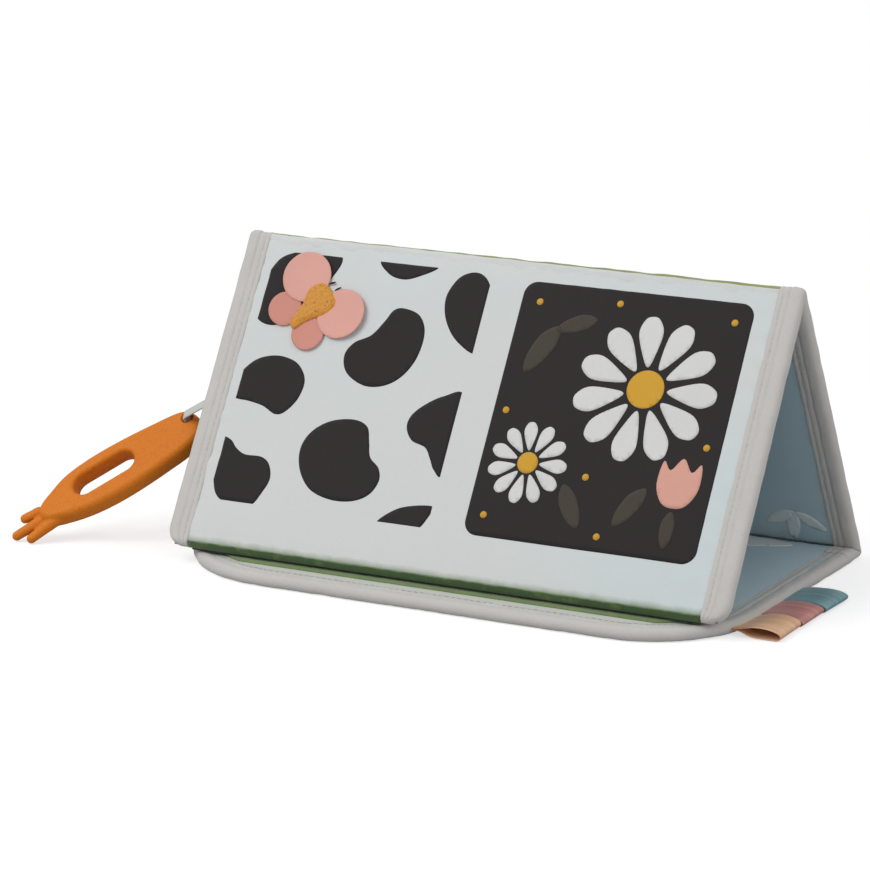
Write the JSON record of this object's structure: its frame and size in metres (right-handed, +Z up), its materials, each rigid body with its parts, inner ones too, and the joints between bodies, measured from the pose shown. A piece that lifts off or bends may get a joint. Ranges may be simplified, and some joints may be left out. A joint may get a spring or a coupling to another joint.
{
  "type": "soft activity book",
  "caption": "Padded cloth book whose pages fold into a standing tent, with taped edges, ribbon tags, cloth wings and a hanging teether.",
  "frame": {"origin": "on the floor, at the middle of the base page's underside", "axes": "+X along the book and its folds, +Y to the back of the standing tent, +Z up"},
  "size_m": [0.3806, 0.173, 0.1399],
  "materials": {
    "filling": "matte",
    "inside_cloth": "matte",
    "page_cloth": "matte",
    "underside_cloth": "matte",
    "edge_tape": "matte",
    "green_cloth": "matte",
    "loop_strip": "matte",
    "hook_strip": "matte",
    "black_print": "matte",
    "white_print": "matte",
    "gold_print": "matte",
    "pink_print": "matte",
    "brown_print": "matte",
    "pale_print": "matte",
    "wing_cloth": "matte",
    "embroidery": "matte",
    "black_thread": "matte",
    "ribbon_peach_satin": "matte",
    "ribbon_pink_satin": "matte",
    "ribbon_teal_satin": "matte",
    "moulded_silicone": "satin",
    "loop_ribbon": "matte"
  },
  "bodies": {
    "base_page": {"base_padding": "filling", "base_inner_cloth": "inside_cloth", "base_outer_cloth": "underside_cloth", "base_binding": "edge_tape", "closure_strip": "loop_strip", "cloud_print": "pale_print", "back_gutter": "green_cloth", "back_wrap_left": "edge_tape", "back_wrap_right": "edge_tape", "ribbon_peach": "ribbon_peach_satin", "ribbon_pink": "ribbon_pink_satin", "ribbon_teal": "ribbon_teal_satin"},
    "back_page": {"back_padding": "filling", "back_inner_cloth": "inside_cloth", "back_outer_cloth": "page_cloth", "back_binding_left": "edge_tape", "back_binding_right": "edge_tape", "leaf_print": "pale_print", "ridge_gutter": "green_cloth", "ridge_wrap_left": "edge_tape", "ridge_wrap_right": "edge_tape"},
    "front_page": {"front_padding": "filling", "front_inner_cloth": "inside_cloth", "front_outer_cloth": "page_cloth", "front_binding_left": "edge_tape", "front_binding_right": "edge_tape", "closing_flap": "green_cloth", "hook_tape": "hook_strip", "spot_print": "black_print", "picture_panel": "black_print", "petal_print": "white_print", "flower_hearts": "gold_print", "tulip_print": "pink_print", "stalk_print": "brown_print", "seed_print": "gold_print", "wing_upper": "wing_cloth", "wing_right": "wing_cloth", "wing_lower": "wing_cloth", "wing_left": "wing_cloth", "butterfly_body": "embroidery", "butterfly_feelers": "black_thread"},
    "teether_body": {"teether": "moulded_silicone", "teether_loop": "loop_ribbon"}
  },
  "joints": [
    {"name": "back_fold", "type": "hinge", "parent": "base_page", "child": "back_page", "pos_m": [0, 0.08503, 0.003], "axis": [-1, 0, 0], "range_deg": [0, 118], "deforming": ["back_gutter", "back_wrap_left", "back_wrap_right"]},
    {"name": "ridge_fold", "type": "hinge", "parent": "back_page", "child": "front_page", "pos_m": [0, 0.01309, 0.13689], "axis": [-1, 0, 0], "range_deg": [0, 120], "deforming": ["ridge_gutter", "ridge_wrap_left", "ridge_wrap_right"]},
    {"name": "teether_swing", "type": "hinge", "parent": "front_page", "child": "teether_body", "pos_m": [-0.142, -0.02861, 0.06373], "axis": [-0.1404, 0.7224, 0.6771], "range_deg": [0, 60]}
  ]
}
